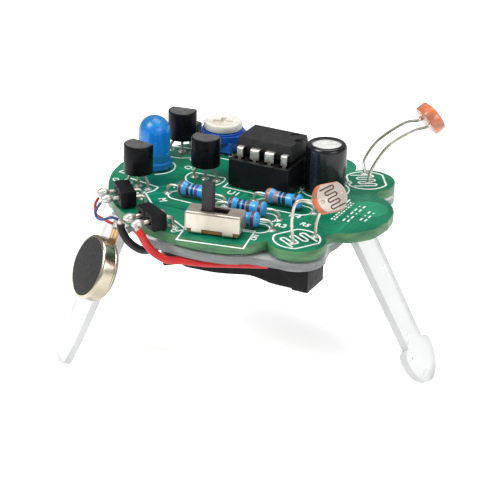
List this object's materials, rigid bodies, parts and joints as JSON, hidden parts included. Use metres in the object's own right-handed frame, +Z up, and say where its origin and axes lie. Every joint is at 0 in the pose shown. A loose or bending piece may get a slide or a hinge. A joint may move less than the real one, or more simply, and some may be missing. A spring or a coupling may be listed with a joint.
{
  "type": "light-seeking vibration robot",
  "caption": "Small kit robot: a bug-shaped circuit board with light sensors on bent clear legs, driven by a coin vibration motor.",
  "frame": {"origin": "on the floor, under the middle of the whole robot's box", "axes": "+X to the robot's nose, +Y to its left, +Z up"},
  "size_m": [0.0548, 0.048, 0.0392],
  "materials": {
    "solder_mask_green": "satin green lacquer with white print",
    "clear_sheet": "clear, slightly scuffed sheet",
    "black_plastic": "moulded, satin",
    "foam_tape": "soft white foam",
    "cell_steel": "bright nickel-plated steel",
    "tinned_metal": "tinned",
    "nickel": "warm nickel plating",
    "phenolic": "brown laminate",
    "brass": "plain",
    "blue_epoxy": "diffused blue epoxy",
    "resistor_blue": "light blue lacquer with colour bands",
    "sensor_ceramic": "glazed, with a winding track",
    "black_sleeve": "shrunk film",
    "can_aluminium": "bright, scored top",
    "black_rubber": "plain",
    "wound_paper": "plain",
    "trimmer_blue": "moulded",
    "trimmer_white": "moulded nylon",
    "motor_steel": "nickel-plated",
    "grey_foam": "adhesive-backed foam",
    "magnet": "sintered",
    "weight_metal": "heavy moulded weight",
    "amber_flex": "flexible circuit film",
    "red_vinyl": "wire sleeve",
    "black_vinyl": "wire sleeve",
    "blue_vinyl": "wire sleeve"
  },
  "bodies": {
    "robot": {"circuit_board": "solder_mask_green", "leg_plate": "clear_sheet", "plate_pad": "foam_tape", "battery_holder": "black_plastic", "holder_tape": "foam_tape", "cell_contact_negative": "tinned_metal", "cell_contact_positive": "tinned_metal", "dip_socket": "black_plastic", "socket_contact_1": "tinned_metal", "socket_contact_2": "tinned_metal", "socket_contact_3": "tinned_metal", "socket_contact_4": "tinned_metal", "socket_contact_5": "tinned_metal", "socket_contact_6": "tinned_metal", "socket_contact_7": "tinned_metal", "socket_contact_8": "tinned_metal", "switch_case": "nickel", "switch_base": "phenolic", "led": "blue_epoxy", "transistor_1": "black_plastic", "transistor_2": "black_plastic", "transistor_3": "black_plastic", "resistor_1": "resistor_blue", "resistor_2": "resistor_blue", "resistor_3": "resistor_blue", "resistor_4": "resistor_blue", "capacitor_sleeve": "black_sleeve", "capacitor_can": "can_aluminium", "capacitor_bung": "black_rubber", "capacitor_element": "wound_paper", "trimmer_base": "trimmer_blue", "trimmer_track": "black_plastic", "sensor_left": "sensor_ceramic", "sensor_right": "sensor_ceramic", "header_motor": "black_plastic", "header_motor_pin_1": "tinned_metal", "header_motor_pin_2": "tinned_metal", "header_battery": "black_plastic", "header_battery_pin_1": "tinned_metal", "header_battery_pin_2": "tinned_metal", "motor_can": "motor_steel", "motor_base": "motor_steel", "motor_pad": "grey_foam", "motor_adhesive": "foam_tape", "motor_flex": "amber_flex", "motor_shaft": "motor_steel", "motor_magnet": "magnet", "battery_lead_red": "red_vinyl", "battery_lead_black": "black_vinyl", "motor_lead_red": "red_vinyl", "motor_lead_blue": "blue_vinyl"},
    "switch_shoe": {"switch_slider": "black_plastic", "switch_contact": "brass"},
    "trimmer_dial": {"trimmer_rotor": "trimmer_white"},
    "motor_weight": {"motor_rotor": "weight_metal"},
    "cell": {"coin_cell": "cell_steel"},
    "chip": {"ic": "black_plastic"}
  },
  "joints": [
    {"name": "switch_slide", "type": "slide", "parent": "robot", "child": "switch_shoe", "axis": [0.9816, 0.1908, 0], "range_m": [0, 0.0022]},
    {"name": "trimmer_turn", "type": "hinge", "parent": "robot", "child": "trimmer_dial", "pos_m": [-0.01612, 0.01399, 0.029], "axis": [0, 0, 1], "range_deg": [-105, 105]},
    {"name": "motor_spin", "type": "hinge", "parent": "robot", "child": "motor_weight", "pos_m": [-0.01991, -0.01891, 0.01621], "axis": [-0.5889, -0.7093, 0.3875], "continuous": true},
    {"name": "cell_release", "type": "slide", "parent": "robot", "child": "cell", "axis": [0, 0, -1], "range_m": [0, 0.01]},
    {"name": "chip_release", "type": "slide", "parent": "robot", "child": "chip", "axis": [0, 0, 1], "range_m": [0, 0.006]}
  ]
}
